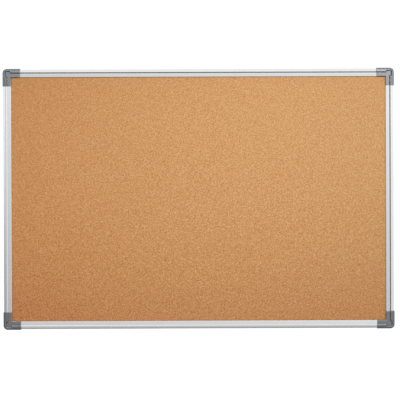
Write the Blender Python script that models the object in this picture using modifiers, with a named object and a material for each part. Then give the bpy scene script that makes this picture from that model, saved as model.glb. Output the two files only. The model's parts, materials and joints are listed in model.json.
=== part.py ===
"""Cork bulletin board, 900 x 600 mm, in an aluminium frame with moulded corners.

Run it with: blender --background --python part.py

Frame: +X to the right and +Z up as seen from the front, -Y out of the cork face and +Y towards the
wall. The origin is the centre of the board's outer box. Lengths are in metres.

Cross-sections are drawn in two coordinates. "across" is the distance inwards from the board's outer
edge, and "deep" is the distance behind the front plane of the corners.
"""

import math

import bmesh
import bpy
from mathutils import Matrix, Vector

MM = 0.001

# Driving dimensions
BOARD_WIDTH = 900 * MM
BOARD_HEIGHT = 600 * MM
BOARD_DEPTH = 17 * MM
CLEARANCE = 0.3 * MM  # between neighbouring pieces, and the glue line between the panel's layers

# Crown of the frame's outer band: its depth at a distance outwards from the ridge
CROWN_SLOPE = 0.04
CROWN_CURVE = 38.0  # per metre
CROWN_STEPS = 5
EDGE_RADIUS = 1.6 * MM  # rounds the outer band into the side
EDGE_TURN = math.radians(68)
EDGE_STEPS = 4

# Aluminium rail, measured from its own outer side and its own ridge
RAIL_INSET = 1.5 * MM  # the corners stand this far outside the rails
RAIL_FRONT = 1.5 * MM  # and their ridge this far in front of the rails' ridge
RAIL_FACE = 18 * MM
RAIL_DEPTH = 14.1 * MM
RAIL_RIDGE = 7 * MM
RAIL_STEP_FOOT = 9.2 * MM
RAIL_STEP_DROP = 2 * MM
RAIL_LIP = 1.3 * MM
RAIL_LIP_RADIUS = 0.7 * MM
RAIL_WALL = 1.2 * MM
RAIL_WEB = 9.5 * MM  # panel side of the web between the chamber and the panel groove
RAIL_REAR_LIP = 15 * MM
CHAMBER_ROOF = 1.5 * MM  # behind the ridge; at the outer side the roof is thicker, to round the edge
CHAMBER_ROOF_END = 6.6 * MM
CHAMBER_SHOULDER = 3.2 * MM
RAIL_BACK = RAIL_FRONT + RAIL_DEPTH

# Moulded corner body
CORNER_LEG = 40 * MM
CORNER_RADIUS = 10 * MM
CORNER_TURN_STEPS = 10
CORNER_BAR = 9.4 * MM
CORNER_BLOCK = 19.5 * MM
PAD_INSET = 0.5 * MM
TONGUE_TIP = 48 * MM
TONGUE_LOW = RAIL_INSET + RAIL_WALL + CLEARANCE
TONGUE_HIGH = RAIL_INSET + RAIL_WEB - RAIL_WALL - CLEARANCE
TONGUE_BACK = RAIL_BACK - RAIL_WALL - CLEARANCE
TONGUE_EASING = 0.8 * MM

# Pocket that the screw cover lies in
POCKET_LEG = 10.7 * MM  # across, along the legs
POCKET_CORNER = 6.7 * MM  # across, round the corner
POCKET_JOG = 17.4 * MM  # along, at the middle of the slant that joins the two
POCKET_SLANT = math.radians(62)
STEP_DEPTH = 2 * MM  # from the ridge down to the cover, on a 45 degree slope
STEP_OVERCUT = 0.2 * MM
POCKET_FLOOR = RAIL_FRONT + RAIL_STEP_DROP
TONGUE_FRONT = POCKET_FLOOR + RAIL_WALL + CLEARANCE

# Screw cover
COVER_GAP = 0.35 * MM
COVER_THICKNESS = 1.2 * MM
COVER_INNER = RAIL_INSET + RAIL_FACE  # flush with the lips of the rails
COVER_BEVEL = 0.3 * MM
COVER_SLOPE = 0.8 * MM  # the wider bevel along the two inner sides
SPIGOT_RADIUS = 4.2 * MM
SPIGOT_BORE = 3.2 * MM
SPIGOT_DEEP = 5.4 * MM

# Hole for a wall screw, under the cover
WALL_HOLE_AT = 11.8 * MM
WALL_HOLE_RADIUS = 2.25 * MM
COUNTERBORE_RADIUS = 4.5 * MM
COUNTERBORE_DEEP = 8.5 * MM

# Panel
PANEL_EDGE = RAIL_INSET + RAIL_WEB + CLEARANCE
PANEL_CHAMFER = 11 * MM
CORK_THICKNESS = 2.5 * MM
CORE_THICKNESS = 5.5 * MM
BACKING_THICKNESS = 0.4 * MM
CORK_FRONT = POCKET_FLOOR + RAIL_LIP + CLEARANCE
PRESSED_BORDER = 10.2 * MM  # the cork swells a little inside the lips that press its border
PRESSED_DEPTH = 0.15 * MM

# Self-tapping screw that fixes a rail to a tongue, from behind
SCREW_ALONG = 32 * MM
SCREW_ACROSS = (TONGUE_LOW + TONGUE_HIGH) / 2
SCREW_RADIUS = 1.45 * MM
SCREW_LENGTH = 8 * MM
SCREW_TIP = 1.6 * MM
SCREW_HOLE_RADIUS = 1.75 * MM
SCREW_HEAD_RADIUS = 2.8 * MM
SCREW_HEAD_HEIGHT = 1.1 * MM
SCREW_HEAD_EDGE = 0.5 * MM  # height of the head's upright edge, under its dome
SCREW_HEAD_GAP = 0.1 * MM
RECESS_WIDTH = 0.8 * MM
RECESS_SPAN = 3 * MM
RECESS_DEPTH = 0.6 * MM

ROUND_SEGMENTS = 32
WELD = 0.00001
OVERLAP = 1 * MM  # how far a cutter runs past what it cuts
SMOOTH_ANGLE = math.radians(35)
FLAT_ANGLE = math.radians(1)  # edges below it only divide a flat face
QUARTER = math.pi / 2

SIDES = ("top", "right", "bottom", "left")  # each a quarter turn on from the last


# ---------------------------------------------------------------- scene and materials


def clear_scene():
    for obj in list(bpy.data.objects):
        bpy.data.objects.remove(obj)


def new_collection(name):
    collection = bpy.data.collections.new(name)
    bpy.context.scene.collection.children.link(collection)
    return collection


def principled(name, colour, roughness, metallic=0.0):
    material = bpy.data.materials.new(name)
    material.use_nodes = True
    shader = material.node_tree.nodes["Principled BSDF"]
    shader.inputs["Base Color"].default_value = (*colour, 1)
    shader.inputs["Roughness"].default_value = roughness
    shader.inputs["Metallic"].default_value = metallic
    return material


# ---------------------------------------------------------------- shape helpers


def y_of(deep):
    """World Y of a depth behind the front plane."""
    return deep - BOARD_DEPTH / 2


def arc(centre, radius, start, turn, steps):
    """Points on a circle, from the angle start and round by turn, both ends included."""
    angles = [start + turn * i / steps for i in range(steps + 1)]
    return [(centre[0] + radius * math.cos(a), centre[1] + radius * math.sin(a)) for a in angles]


def helper(name, mesh):
    """An object that only shapes others: it is left out of the model."""
    obj = bpy.data.objects.new(name, mesh)
    bpy.data.collections["helpers"].objects.link(obj)
    obj.hide_render = True
    obj.display_type = "WIRE"
    return obj


def evaluated_mesh(obj, name):
    bpy.context.view_layer.update()
    graph = bpy.context.evaluated_depsgraph_get()
    mesh = bpy.data.meshes.new_from_object(obj.evaluated_get(graph))
    mesh.name = name
    return mesh


def flat_curve(name, loops, thickness, flare=0.0):
    """A filled flat outline, its first loop outside and any others holes. flare widens its middle."""
    curve = bpy.data.curves.new(name, "CURVE")
    curve.dimensions = "2D"
    curve.fill_mode = "BOTH"
    curve.extrude = thickness / 2
    curve.bevel_depth = flare
    curve.bevel_resolution = 0
    for loop in loops:
        spline = curve.splines.new("POLY")
        spline.points.add(len(loop) - 1)
        for point, (x, y) in zip(spline.points, loop):
            point.co = (x, y, 0, 1)
        spline.use_cyclic_u = True
    return curve


def closed_mesh(name, data, matrix, modifier=None):
    """A curve, or a profile with a modifier, as a mesh, its seams welded, carried by matrix."""
    obj = helper(name, data)
    if modifier:
        modifier(obj)
    mesh = evaluated_mesh(obj, name)
    bpy.data.objects.remove(obj)
    bm = bmesh.new()
    bm.from_mesh(mesh)
    bmesh.ops.remove_doubles(bm, verts=bm.verts, dist=WELD)
    bmesh.ops.transform(bm, matrix=matrix, verts=bm.verts)
    bmesh.ops.recalc_face_normals(bm, faces=bm.faces)
    bm.to_mesh(mesh)
    bm.free()
    return mesh


def section_to_x():
    """Stands a section drawn in (Y, Z) upright, its thickness along X."""
    return Matrix.Rotation(QUARTER, 4, "Z") @ Matrix.Rotation(QUARTER, 4, "X")


def plate_mesh(name, outlines, front, back, flare=0.0):
    """A plate parallel to the cork, from (x, z) outlines, between two depths."""
    curve = flat_curve(name, outlines, back - front - 2 * flare, flare)
    upright = Matrix.Translation((0, y_of((front + back) / 2), 0)) @ Matrix.Rotation(QUARTER, 4, "X")
    return closed_mesh(name, curve, upright)


def corner_plate(name, outline, front, back, flare=0.0):
    """A helper plate in a corner's own frame, its outline given inwards from the two outer edges."""
    return helper(name, plate_mesh(name, [[(-a, -b) for a, b in outline]], front, back, flare))


def box(name, low, high):
    """A helper box between two corners."""
    bm = bmesh.new()
    bmesh.ops.create_cube(bm, size=1)
    size = Vector(high) - Vector(low)
    centre = (Vector(high) + Vector(low)) / 2
    bmesh.ops.transform(bm, matrix=Matrix.Translation(centre) @ Matrix.Diagonal((*size, 1)), verts=bm.verts)
    mesh = bpy.data.meshes.new(name)
    bm.to_mesh(mesh)
    bm.free()
    return helper(name, mesh)


def rod(name, radius, x, z, front, back):
    """A helper cylinder along Y between two depths."""
    bm = bmesh.new()
    bmesh.ops.create_cone(
        bm, cap_ends=True, segments=ROUND_SEGMENTS, radius1=radius, radius2=radius, depth=back - front
    )
    along_y = Matrix.Translation((x, y_of((front + back) / 2), z)) @ Matrix.Rotation(QUARTER, 4, "X")
    bmesh.ops.transform(bm, matrix=along_y, verts=bm.verts)
    mesh = bpy.data.meshes.new(name)
    bm.to_mesh(mesh)
    bm.free()
    return helper(name, mesh)


def turn_about_axis(obj):
    """Turns a profile drawn in X and Z into a round body about Z."""
    screw = obj.modifiers.new("turned", "SCREW")
    screw.axis = "Z"
    screw.steps = screw.render_steps = ROUND_SEGMENTS
    screw.use_merge_vertices = True
    screw.merge_threshold = WELD


def turned_mesh(name, profile):
    """A round body on the Y axis from (radius, deep) points, the first and the last on the axis."""
    bm = bmesh.new()
    points = [bm.verts.new((radius, 0, -y_of(deep))) for radius, deep in profile]
    for first, second in zip(points, points[1:]):
        bm.edges.new((first, second))
    mesh = bpy.data.meshes.new(name)
    bm.to_mesh(mesh)
    bm.free()
    return closed_mesh(name, mesh, Matrix.Rotation(QUARTER, 4, "X"), turn_about_axis)


def build(base, joined=(), cut=(), name=None, solver="EXACT"):
    """One mesh from base with the joined helpers added, then the cut ones taken away."""
    steps = [("UNION", tool) for tool in joined] + [("DIFFERENCE", tool) for tool in cut]
    for operation, tool in steps:
        modifier = base.modifiers.new(tool.name, "BOOLEAN")
        modifier.operation = operation
        modifier.solver = solver
        modifier.object = tool
    mesh = evaluated_mesh(base, name or base.name)
    mesh.shade_smooth()
    mesh.set_sharp_from_angle(angle=SMOOTH_ANGLE)
    for tool in (base, *joined, *cut):
        bpy.data.objects.remove(tool)
    return mesh


def place(name, mesh, material, parent=None, location=(0, 0, 0)):
    """A piece of the board: an object of its own, on its parent."""
    obj = bpy.data.objects.new(name, mesh)
    bpy.data.collections["cork_bulletin_board"].objects.link(obj)
    obj.parent = parent
    obj.location = location
    mesh.materials.clear()
    mesh.materials.append(material)


def anchor(name, location, turn):
    """An empty, turned about the board's Y, that carries the pieces of one corner or one side."""
    empty = bpy.data.objects.new(name, None)
    bpy.data.collections["cork_bulletin_board"].objects.link(empty)
    empty.empty_display_size = 20 * MM
    empty.location = location
    empty.rotation_euler.y = turn
    return empty


# ---------------------------------------------------------------- frame section


def crown(outwards):
    """Depth of the outer band below the ridge, at a distance outwards from the ridge."""
    return CROWN_SLOPE * outwards + CROWN_CURVE * outwards**2


def outer_band():
    """The rounded outer edge and the crowned band up to the ridge, as (across, deep) points.

    Rails and corners share it, each from its own outer side and its own ridge.
    """
    edge = EDGE_RADIUS * (1 - math.cos(EDGE_TURN))
    shoulder = crown(RAIL_RIDGE - edge) + EDGE_RADIUS * math.sin(EDGE_TURN)
    rounded = arc((EDGE_RADIUS, shoulder), EDGE_RADIUS, math.pi, EDGE_TURN, EDGE_STEPS)
    stations = [edge + (RAIL_RIDGE - edge) * i / CROWN_STEPS for i in range(1, CROWN_STEPS + 1)]
    return rounded + [(across, crown(RAIL_RIDGE - across)) for across in stations]


def rail_section():
    """The extrusion's outline and its hollow chamber, from its outer side and its ridge."""
    lip_back = RAIL_STEP_DROP + RAIL_LIP
    rear_front = RAIL_DEPTH - RAIL_WALL
    lip_centre = (RAIL_FACE - RAIL_LIP_RADIUS, RAIL_STEP_DROP + RAIL_LIP_RADIUS)
    outline = [(0, RAIL_DEPTH)]
    outline += outer_band()
    outline += [(RAIL_STEP_FOOT, RAIL_STEP_DROP)]
    outline += arc(lip_centre, RAIL_LIP_RADIUS, -QUARTER, QUARTER, EDGE_STEPS)
    outline += [(RAIL_FACE, lip_back), (RAIL_WEB, lip_back), (RAIL_WEB, rear_front)]
    outline += [(RAIL_REAR_LIP, rear_front), (RAIL_REAR_LIP, RAIL_DEPTH)]
    chamber = [(RAIL_WALL, rear_front), (RAIL_WALL, CHAMBER_SHOULDER), (CHAMBER_ROOF_END, CHAMBER_ROOF)]
    chamber += [(RAIL_WEB - RAIL_WALL, RAIL_STEP_DROP + RAIL_WALL), (RAIL_WEB - RAIL_WALL, rear_front)]
    return outline, chamber


def rail_mesh(name, length):
    """A rail along X, its outer side at z = 0 and its screw holes in the rear wall."""
    outline, chamber = rail_section()
    loops = [[(deep + y_of(RAIL_FRONT), -across) for across, deep in loop] for loop in (outline, chamber)]
    rail = helper(name, closed_mesh(name, flat_curve(name, loops, length), section_to_x()))
    screw_x = length / 2 + CORNER_BLOCK + CLEARANCE - SCREW_ALONG
    screw_z = RAIL_INSET - SCREW_ACROSS
    front, back = RAIL_BACK - 2 * RAIL_WALL, RAIL_BACK + OVERLAP
    holes = [
        rod("screw_hole_left", SCREW_HOLE_RADIUS, -screw_x, screw_z, front, back),
        rod("screw_hole_right", SCREW_HOLE_RADIUS, screw_x, screw_z, front, back),
    ]
    return build(rail, cut=holes, name=name)


# ---------------------------------------------------------------- corner


def corner_bar():
    """The solid bar with the crowned front, along one leg, round the corner and along the other."""
    section = [(0, RAIL_BACK)] + outer_band() + [(CORNER_BAR, 0), (CORNER_BAR, RAIL_BACK)]
    leg = CORNER_LEG + OVERLAP
    bm = bmesh.new()
    face = bm.faces.new([bm.verts.new((-leg, y_of(deep), -across)) for across, deep in section])
    swept = [face, *face.edges, *face.verts]
    straight = leg - CORNER_RADIUS
    turn_centre = (-CORNER_RADIUS, 0, -CORNER_RADIUS)
    for dvec, angle, steps in (
        ((straight, 0, 0), 0, 1),
        ((0, 0, 0), QUARTER, CORNER_TURN_STEPS),
        ((0, 0, -straight), 0, 1),
    ):
        spun = bmesh.ops.spin(
            bm, geom=swept, cent=turn_centre, axis=(0, 1, 0), dvec=dvec, angle=angle, steps=steps
        )
        swept = spun["geom_last"]
    bmesh.ops.recalc_face_normals(bm, faces=bm.faces)
    mesh = bpy.data.meshes.new("corner_bar")
    bm.to_mesh(mesh)
    bm.free()
    return helper("corner_bar", mesh)


def pocket_outline(inset=0.0):
    """The rim's inner line from the slant on one leg round to the slant on the other, drawn in by inset."""

    def slant(across):
        rise = across - (POCKET_LEG + POCKET_CORNER) / 2
        return POCKET_JOG + rise / math.tan(POCKET_SLANT) - inset / math.sin(POCKET_SLANT)

    leg, near = POCKET_LEG + inset, POCKET_CORNER + inset
    turn = arc((CORNER_RADIUS,) * 2, CORNER_RADIUS - near, -QUARTER, -QUARTER, CORNER_TURN_STEPS)
    one_side = [(slant(leg), leg), (slant(near), near)]
    return one_side + turn + mirrored(reversed(one_side))


def open_pocket(name, inset, front, back, flare=0.0):
    """A helper plate that fills the pocket and runs on inwards and past the ends of the legs."""
    far = CORNER_LEG + 5 * OVERLAP
    leg = POCKET_LEG + inset
    outline = [(far, leg)] + pocket_outline(inset) + [(leg, far), (far, far)]
    return corner_plate(name, outline, front, back, flare)


def rounded_block(low, high):
    """A square from low to high inwards, its outer corner concentric with the board's."""
    turn = arc((CORNER_RADIUS,) * 2, CORNER_RADIUS - low, -QUARTER, -QUARTER, CORNER_TURN_STEPS)
    return [(high, low)] + turn + [(low, high), (high, high)]


def mirrored(points):
    """The same shape with its two edges swapped, for the other leg."""
    return [(b, a) for a, b in points]


def both_legs(name, along, across, front, back):
    """Helper plates on the two legs, between two distances along and two across."""
    outline = [(along[0], across[0]), (along[1], across[0]), (along[1], across[1]), (along[0], across[1])]
    return [
        corner_plate(f"{name}_x", outline, front, back),
        corner_plate(f"{name}_z", mirrored(outline), front, back),
    ]


def rail_passages():
    """What a rail and its clearance take out of each leg, as one helper for each."""
    behind, beyond = BOARD_DEPTH + OVERLAP, CORNER_BLOCK + 2 * OVERLAP
    under_band = RAIL_FRONT - CLEARANCE
    section = [(RAIL_INSET - CLEARANCE, behind)]
    section += [(RAIL_INSET - CLEARANCE + across, under_band + deep) for across, deep in outer_band()]
    section += [(RAIL_INSET + RAIL_STEP_FOOT, POCKET_FLOOR - CLEARANCE)]
    section += [(beyond, POCKET_FLOOR - CLEARANCE), (beyond, behind)]
    loop = [(y_of(deep), -across) for across, deep in section]
    length = CORNER_LEG + 3 * OVERLAP - CORNER_BLOCK
    on_x = Matrix.Translation((-CORNER_BLOCK - length / 2, 0, 0)) @ section_to_x()
    passages = []
    for name, matrix in (("passage_x", on_x), ("passage_z", swap_legs() @ on_x)):
        curve = flat_curve(name, [loop], length)
        passages.append(helper(name, closed_mesh(name, curve, matrix)))
    return passages


def swap_legs():
    """Mirrors a corner in its diagonal, which exchanges its two legs."""
    return Matrix(((0, 0, 1, 0), (0, 1, 0, 0), (1, 0, 0, 0), (0, 0, 0, 1)))


def tongues():
    """The two bars that plug into the rails' chambers, their ends eased."""
    low, high = TONGUE_LOW, TONGUE_HIGH
    root = CORNER_BLOCK - 4 * OVERLAP
    found = both_legs("tongue", (root, TONGUE_TIP), (low, high), TONGUE_FRONT, TONGUE_BACK)
    for tongue in found:
        bevel = tongue.modifiers.new("eased_edges", "BEVEL")
        bevel.width = TONGUE_EASING
        bevel.segments = 1
    return found


def corner_body_mesh():
    """The moulded corner, for the top right: its outer corner at the origin, its legs along -X and -Z."""
    far = CORNER_LEG + 5 * OVERLAP
    block = rounded_block(2 * OVERLAP, CORNER_BLOCK + OVERLAP / 2)
    pad = rounded_block(PAD_INSET, CORNER_BLOCK - OVERLAP / 2)
    beside = (CORNER_BAR - OVERLAP, POCKET_LEG + OVERLAP)
    joined = [
        corner_plate("block", block, POCKET_FLOOR - OVERLAP, RAIL_BACK + OVERLAP / 2),
        corner_plate("pad", pad, RAIL_BACK - OVERLAP, BOARD_DEPTH),
        *both_legs("shoulder", (CORNER_RADIUS, far - OVERLAP), beside, STEP_OVERCUT, POCKET_FLOOR + OVERLAP),
    ]
    notch_edge = PANEL_EDGE - CLEARANCE
    notch_cut = PANEL_CHAMFER + CLEARANCE
    notch = [(notch_edge + notch_cut, notch_edge), (far, notch_edge), (far, far), (notch_edge, far)]
    notch += [(notch_edge, notch_edge + notch_cut)]
    panel_back = panel_layers()["backing_sheet"][1]
    cuts = [
        open_pocket("step", STEP_OVERCUT, -2 * STEP_DEPTH, STEP_DEPTH + STEP_OVERCUT, flare=1.4 * STEP_DEPTH),
        open_pocket("pocket", 0, -OVERLAP, POCKET_FLOOR),
        *both_legs("trim", (CORNER_LEG, far + OVERLAP), (-OVERLAP, CORNER_BLOCK), -OVERLAP, BOARD_DEPTH),
        corner_plate("panel_notch", notch, POCKET_FLOOR + RAIL_LIP, panel_back + CLEARANCE),
        *rail_passages(),
    ]
    shell = build(corner_bar(), joined, cuts, "corner_shell", solver="MANIFOLD")
    at = -WALL_HOLE_AT
    along, across = -SCREW_ALONG, -SCREW_ACROSS
    hole_front, hole_back = RAIL_BACK - SCREW_LENGTH - OVERLAP, RAIL_BACK
    holes = [
        rod("wall_hole", WALL_HOLE_RADIUS, at, at, OVERLAP, BOARD_DEPTH + OVERLAP),
        rod("counterbore", COUNTERBORE_RADIUS, at, at, OVERLAP, COUNTERBORE_DEEP),
        rod("screw_hole_x", SCREW_HOLE_RADIUS, along, across, hole_front, hole_back),
        rod("screw_hole_z", SCREW_HOLE_RADIUS, across, along, hole_front, hole_back),
    ]
    return build(helper("corner_shell", shell), tongues(), holes, "corner_body", solver="MANIFOLD")


def bevel_cover(plate):
    """Eases a cover plate's edges, the front ones along its two inner sides with a wider slope."""

    def borders_panel(edge):
        start, end = (vert.co for vert in edge.verts)
        inner = any(max(abs(start[i] + COVER_INNER), abs(end[i] + COVER_INNER)) < WELD for i in (0, 2))
        return inner and max(start.y, end.y) < y_of(STEP_DEPTH) + WELD

    bm = bmesh.new()
    bm.from_mesh(plate.data)
    bmesh.ops.dissolve_limit(bm, angle_limit=FLAT_ANGLE, verts=bm.verts, edges=bm.edges)
    weight = bm.edges.layers.float.new("bevel_weight_edge")
    for edge in bm.edges:
        if borders_panel(edge):
            edge[weight] = 1
        elif edge.calc_face_angle() > SMOOTH_ANGLE:
            edge[weight] = COVER_BEVEL / COVER_SLOPE
    bm.to_mesh(plate.data)
    bm.free()
    bevel = plate.modifiers.new("eased_edges", "BEVEL")
    bevel.limit_method = "WEIGHT"
    bevel.width = COVER_SLOPE
    bevel.segments = 1


def cover_mesh():
    """The screw cover: an L-shaped plate that lies in the pocket, with a spigot for the counterbore.

    Its origin is on the spigot's axis, along which it pulls off.
    """
    end, outer, inner = CORNER_LEG - CLEARANCE, POCKET_LEG + COVER_GAP, COVER_INNER
    outline = [(end, outer)] + pocket_outline(COVER_GAP)
    outline += [(outer, end), (inner, end), (inner, inner), (end, inner)]
    plate = corner_plate("cover_plate", outline, STEP_DEPTH, STEP_DEPTH + COVER_THICKNESS)
    bevel_cover(plate)
    at = -WALL_HOLE_AT
    plate_back = STEP_DEPTH + COVER_THICKNESS
    spigot = rod("spigot", SPIGOT_RADIUS, at, at, plate_back - COVER_THICKNESS / 2, SPIGOT_DEEP)
    bore = rod("spigot_bore", SPIGOT_BORE, at, at, plate_back, SPIGOT_DEEP + OVERLAP)
    mesh = build(plate, joined=[spigot], cut=[bore], name="corner_cover")
    mesh.transform(Matrix.Translation((WALL_HOLE_AT, 0, WALL_HOLE_AT)))
    return mesh


# ---------------------------------------------------------------- screws and panel


def screw_mesh():
    """A pan-head self-tapping screw on the Y axis, its head towards the wall."""
    seat = RAIL_BACK + SCREW_HEAD_GAP
    tip = seat - SCREW_LENGTH
    top = seat + SCREW_HEAD_HEIGHT
    dome = SCREW_HEAD_HEIGHT - SCREW_HEAD_EDGE
    rounding = arc((SCREW_HEAD_RADIUS - dome, top - dome), dome, QUARTER, -QUARTER, EDGE_STEPS)
    head = [(0, top)] + rounding + [(SCREW_HEAD_RADIUS, seat)]
    shank = [(SCREW_RADIUS, seat), (SCREW_RADIUS, tip + SCREW_TIP), (0, tip)]
    turned = helper("rail_screw", turned_mesh("rail_screw", head + shank))
    half, wide = RECESS_SPAN / 2, RECESS_WIDTH / 2
    low, high = y_of(top - RECESS_DEPTH), y_of(top + OVERLAP)
    recess = [
        box("recess_x", (-half, low, -wide), (half, high, wide)),
        box("recess_z", (-wide, low, -half), (wide, high, half)),
    ]
    return build(turned, cut=recess)


def panel_layers():
    """Front and back depths of the panel's three layers, from the cork to the wall side."""
    depths, front = {}, CORK_FRONT
    for name, thickness in (
        ("cork_sheet", CORK_THICKNESS),
        ("softboard_core", CORE_THICKNESS),
        ("backing_sheet", BACKING_THICKNESS),
    ):
        depths[name] = (front, front + thickness)
        front += thickness + CLEARANCE
    return depths


def panel_outline():
    """The panel's outline, its corners cut off to clear the wall screws."""
    half_x, half_z = BOARD_WIDTH / 2 - PANEL_EDGE, BOARD_HEIGHT / 2 - PANEL_EDGE
    cut = PANEL_CHAMFER
    quadrant = [(half_x, half_z - cut), (half_x - cut, half_z)]
    points = quadrant + [(-x, z) for x, z in reversed(quadrant)]
    return points + [(-x, -z) for x, z in points]


def panel_mesh(name):
    front, back = panel_layers()[name]
    return plate_mesh(name, [panel_outline()], front, back)


def cork_mesh():
    """The cork sheet, its front standing a little proud inside the border that the lips press."""
    mesh = panel_mesh("cork_sheet")
    bm = bmesh.new()
    bm.from_mesh(mesh)
    bmesh.ops.dissolve_limit(bm, angle_limit=FLAT_ANGLE, verts=bm.verts, edges=bm.edges)
    front = min(bm.faces, key=lambda face: face.calc_center_median().y)
    bmesh.ops.inset_region(bm, faces=[front], thickness=PRESSED_BORDER, depth=PRESSED_DEPTH)
    bm.to_mesh(mesh)
    bm.free()
    return mesh


# ---------------------------------------------------------------- assembly


def add_panel():
    cork = principled("natural_cork", (0.56, 0.32, 0.14), 0.9)
    softboard = principled("softboard", (0.45, 0.33, 0.2), 0.95)
    card = principled("grey_card", (0.55, 0.55, 0.53), 0.85)
    place("cork_sheet", cork_mesh(), cork)
    place("softboard_core", panel_mesh("softboard_core"), softboard)
    place("backing_sheet", panel_mesh("backing_sheet"), card)


def add_rails_and_screws():
    aluminium = principled("satin_aluminium", (0.78, 0.79, 0.8), 0.35, 1.0)
    steel = principled("zinc_plated_steel", (0.6, 0.6, 0.62), 0.3, 1.0)
    cut_back = 2 * (CORNER_BLOCK + CLEARANCE)
    long_rail = rail_mesh("long_rail", BOARD_WIDTH - cut_back)
    short_rail = rail_mesh("short_rail", BOARD_HEIGHT - cut_back)
    screw = screw_mesh()
    for quarter, side in enumerate(SIDES):
        upright = quarter % 2 == 1
        reach = (BOARD_WIDTH if upright else BOARD_HEIGHT) / 2
        span = (BOARD_HEIGHT if upright else BOARD_WIDTH) / 2
        carrier = anchor(f"{side}_side", (0, 0, 0), quarter * QUARTER)
        rail = short_rail if upright else long_rail
        place(f"rail_{side}", rail, aluminium, carrier, (0, 0, reach - RAIL_INSET))
        ends = (SIDES[quarter - 1], SIDES[(quarter + 1) % 4])
        for direction, end in zip((-1, 1), ends):
            at = (direction * (span - SCREW_ALONG), 0, reach - SCREW_ACROSS)
            place(f"screw_{side}_rail_{end}_end", screw, steel, carrier, at)


def add_corners():
    plastic = principled("grey_abs", (0.2, 0.22, 0.24), 0.5)
    body, cover = corner_body_mesh(), cover_mesh()
    signs = {"top_right": (1, 1), "bottom_right": (1, -1), "bottom_left": (-1, -1), "top_left": (-1, 1)}
    for quarter, (corner, (right, up)) in enumerate(signs.items()):
        at = (right * BOARD_WIDTH / 2, 0, up * BOARD_HEIGHT / 2)
        carrier = anchor(f"{corner}_corner", at, quarter * QUARTER)
        place(f"corner_body_{corner}", body, plastic, carrier)
        place(f"corner_cover_{corner}", cover, plastic, carrier, (-WALL_HOLE_AT, 0, -WALL_HOLE_AT))


def main():
    clear_scene()
    new_collection("cork_bulletin_board")
    new_collection("helpers")
    add_panel()
    add_rails_and_screws()
    add_corners()


main()
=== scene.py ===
"""Looks of the cork bulletin board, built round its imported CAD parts."""

import json
import math

import bmesh
import bpy
from mathutils import Matrix, Vector

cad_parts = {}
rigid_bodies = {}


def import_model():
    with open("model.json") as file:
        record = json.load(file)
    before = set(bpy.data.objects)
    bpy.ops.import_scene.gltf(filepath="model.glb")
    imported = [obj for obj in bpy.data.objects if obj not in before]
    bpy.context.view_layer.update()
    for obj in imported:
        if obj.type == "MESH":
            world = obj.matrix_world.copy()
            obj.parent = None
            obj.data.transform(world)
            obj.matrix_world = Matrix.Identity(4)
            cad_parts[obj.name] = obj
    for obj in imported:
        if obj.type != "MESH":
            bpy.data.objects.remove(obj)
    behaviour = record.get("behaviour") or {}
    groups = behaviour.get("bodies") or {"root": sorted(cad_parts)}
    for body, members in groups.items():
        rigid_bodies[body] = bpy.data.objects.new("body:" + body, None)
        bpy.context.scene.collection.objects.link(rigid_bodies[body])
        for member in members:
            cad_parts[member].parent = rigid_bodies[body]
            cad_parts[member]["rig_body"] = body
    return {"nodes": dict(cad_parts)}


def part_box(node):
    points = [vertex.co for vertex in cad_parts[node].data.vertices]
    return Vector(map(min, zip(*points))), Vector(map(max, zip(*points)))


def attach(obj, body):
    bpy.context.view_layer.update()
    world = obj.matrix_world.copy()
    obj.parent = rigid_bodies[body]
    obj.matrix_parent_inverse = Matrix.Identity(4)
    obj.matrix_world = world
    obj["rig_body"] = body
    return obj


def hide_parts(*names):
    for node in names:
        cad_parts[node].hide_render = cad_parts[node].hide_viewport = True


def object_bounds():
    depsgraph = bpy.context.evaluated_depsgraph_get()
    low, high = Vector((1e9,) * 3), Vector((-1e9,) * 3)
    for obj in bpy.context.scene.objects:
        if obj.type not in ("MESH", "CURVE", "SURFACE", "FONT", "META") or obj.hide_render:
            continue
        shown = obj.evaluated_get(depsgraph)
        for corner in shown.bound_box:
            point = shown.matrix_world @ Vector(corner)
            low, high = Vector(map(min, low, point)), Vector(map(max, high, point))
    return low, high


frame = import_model()
CAD_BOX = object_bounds()

# Lengths are in metres. Cross-sections are drawn in two coordinates: "across" is the distance inwards
# from the board's outer edge, and "deep" is the distance behind the front plane of the corners.
MM = 0.001
BOARD_DEPTH = CAD_BOX[1].y - CAD_BOX[0].y
CLEARANCE = 0.3 * MM  # between neighbouring pieces, and the glue line between the panel's layers

# Crown of the frame's outer band: its depth at a distance outwards from the ridge
CROWN_SLOPE = 0.04
CROWN_CURVE = 38.0  # per metre
CROWN_STEPS = 14
EDGE_RADIUS = 1.6 * MM  # rounds the outer band into the side
EDGE_TURN = math.radians(68)
EDGE_STEPS = 8

# Aluminium rail, measured from its own outer side and its own ridge
RAIL_INSET = CAD_BOX[1].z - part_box("rail_top")[1].z  # the corners stand this far outside the rails
RAIL_FRONT = 1.5 * MM  # and their ridge this far in front of the rails' ridge
RAIL_FACE = 18 * MM
RAIL_DEPTH = 14.1 * MM
RAIL_RIDGE = 7 * MM
RAIL_STEP_FOOT = 9.2 * MM
RAIL_STEP_DROP = 2 * MM
RAIL_LIP = 1.3 * MM
RAIL_LIP_RADIUS = 0.7 * MM
RAIL_WALL = 1.2 * MM
RAIL_WEB = 9.5 * MM  # panel side of the web between the chamber and the panel groove
RAIL_REAR_LIP = 15 * MM
CHAMBER_ROOF = 1.5 * MM  # behind the ridge; at the outer side the roof is thicker, to round the edge
CHAMBER_ROOF_END = 6.6 * MM
CHAMBER_SHOULDER = 3.2 * MM
RAIL_BACK = RAIL_FRONT + RAIL_DEPTH

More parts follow.
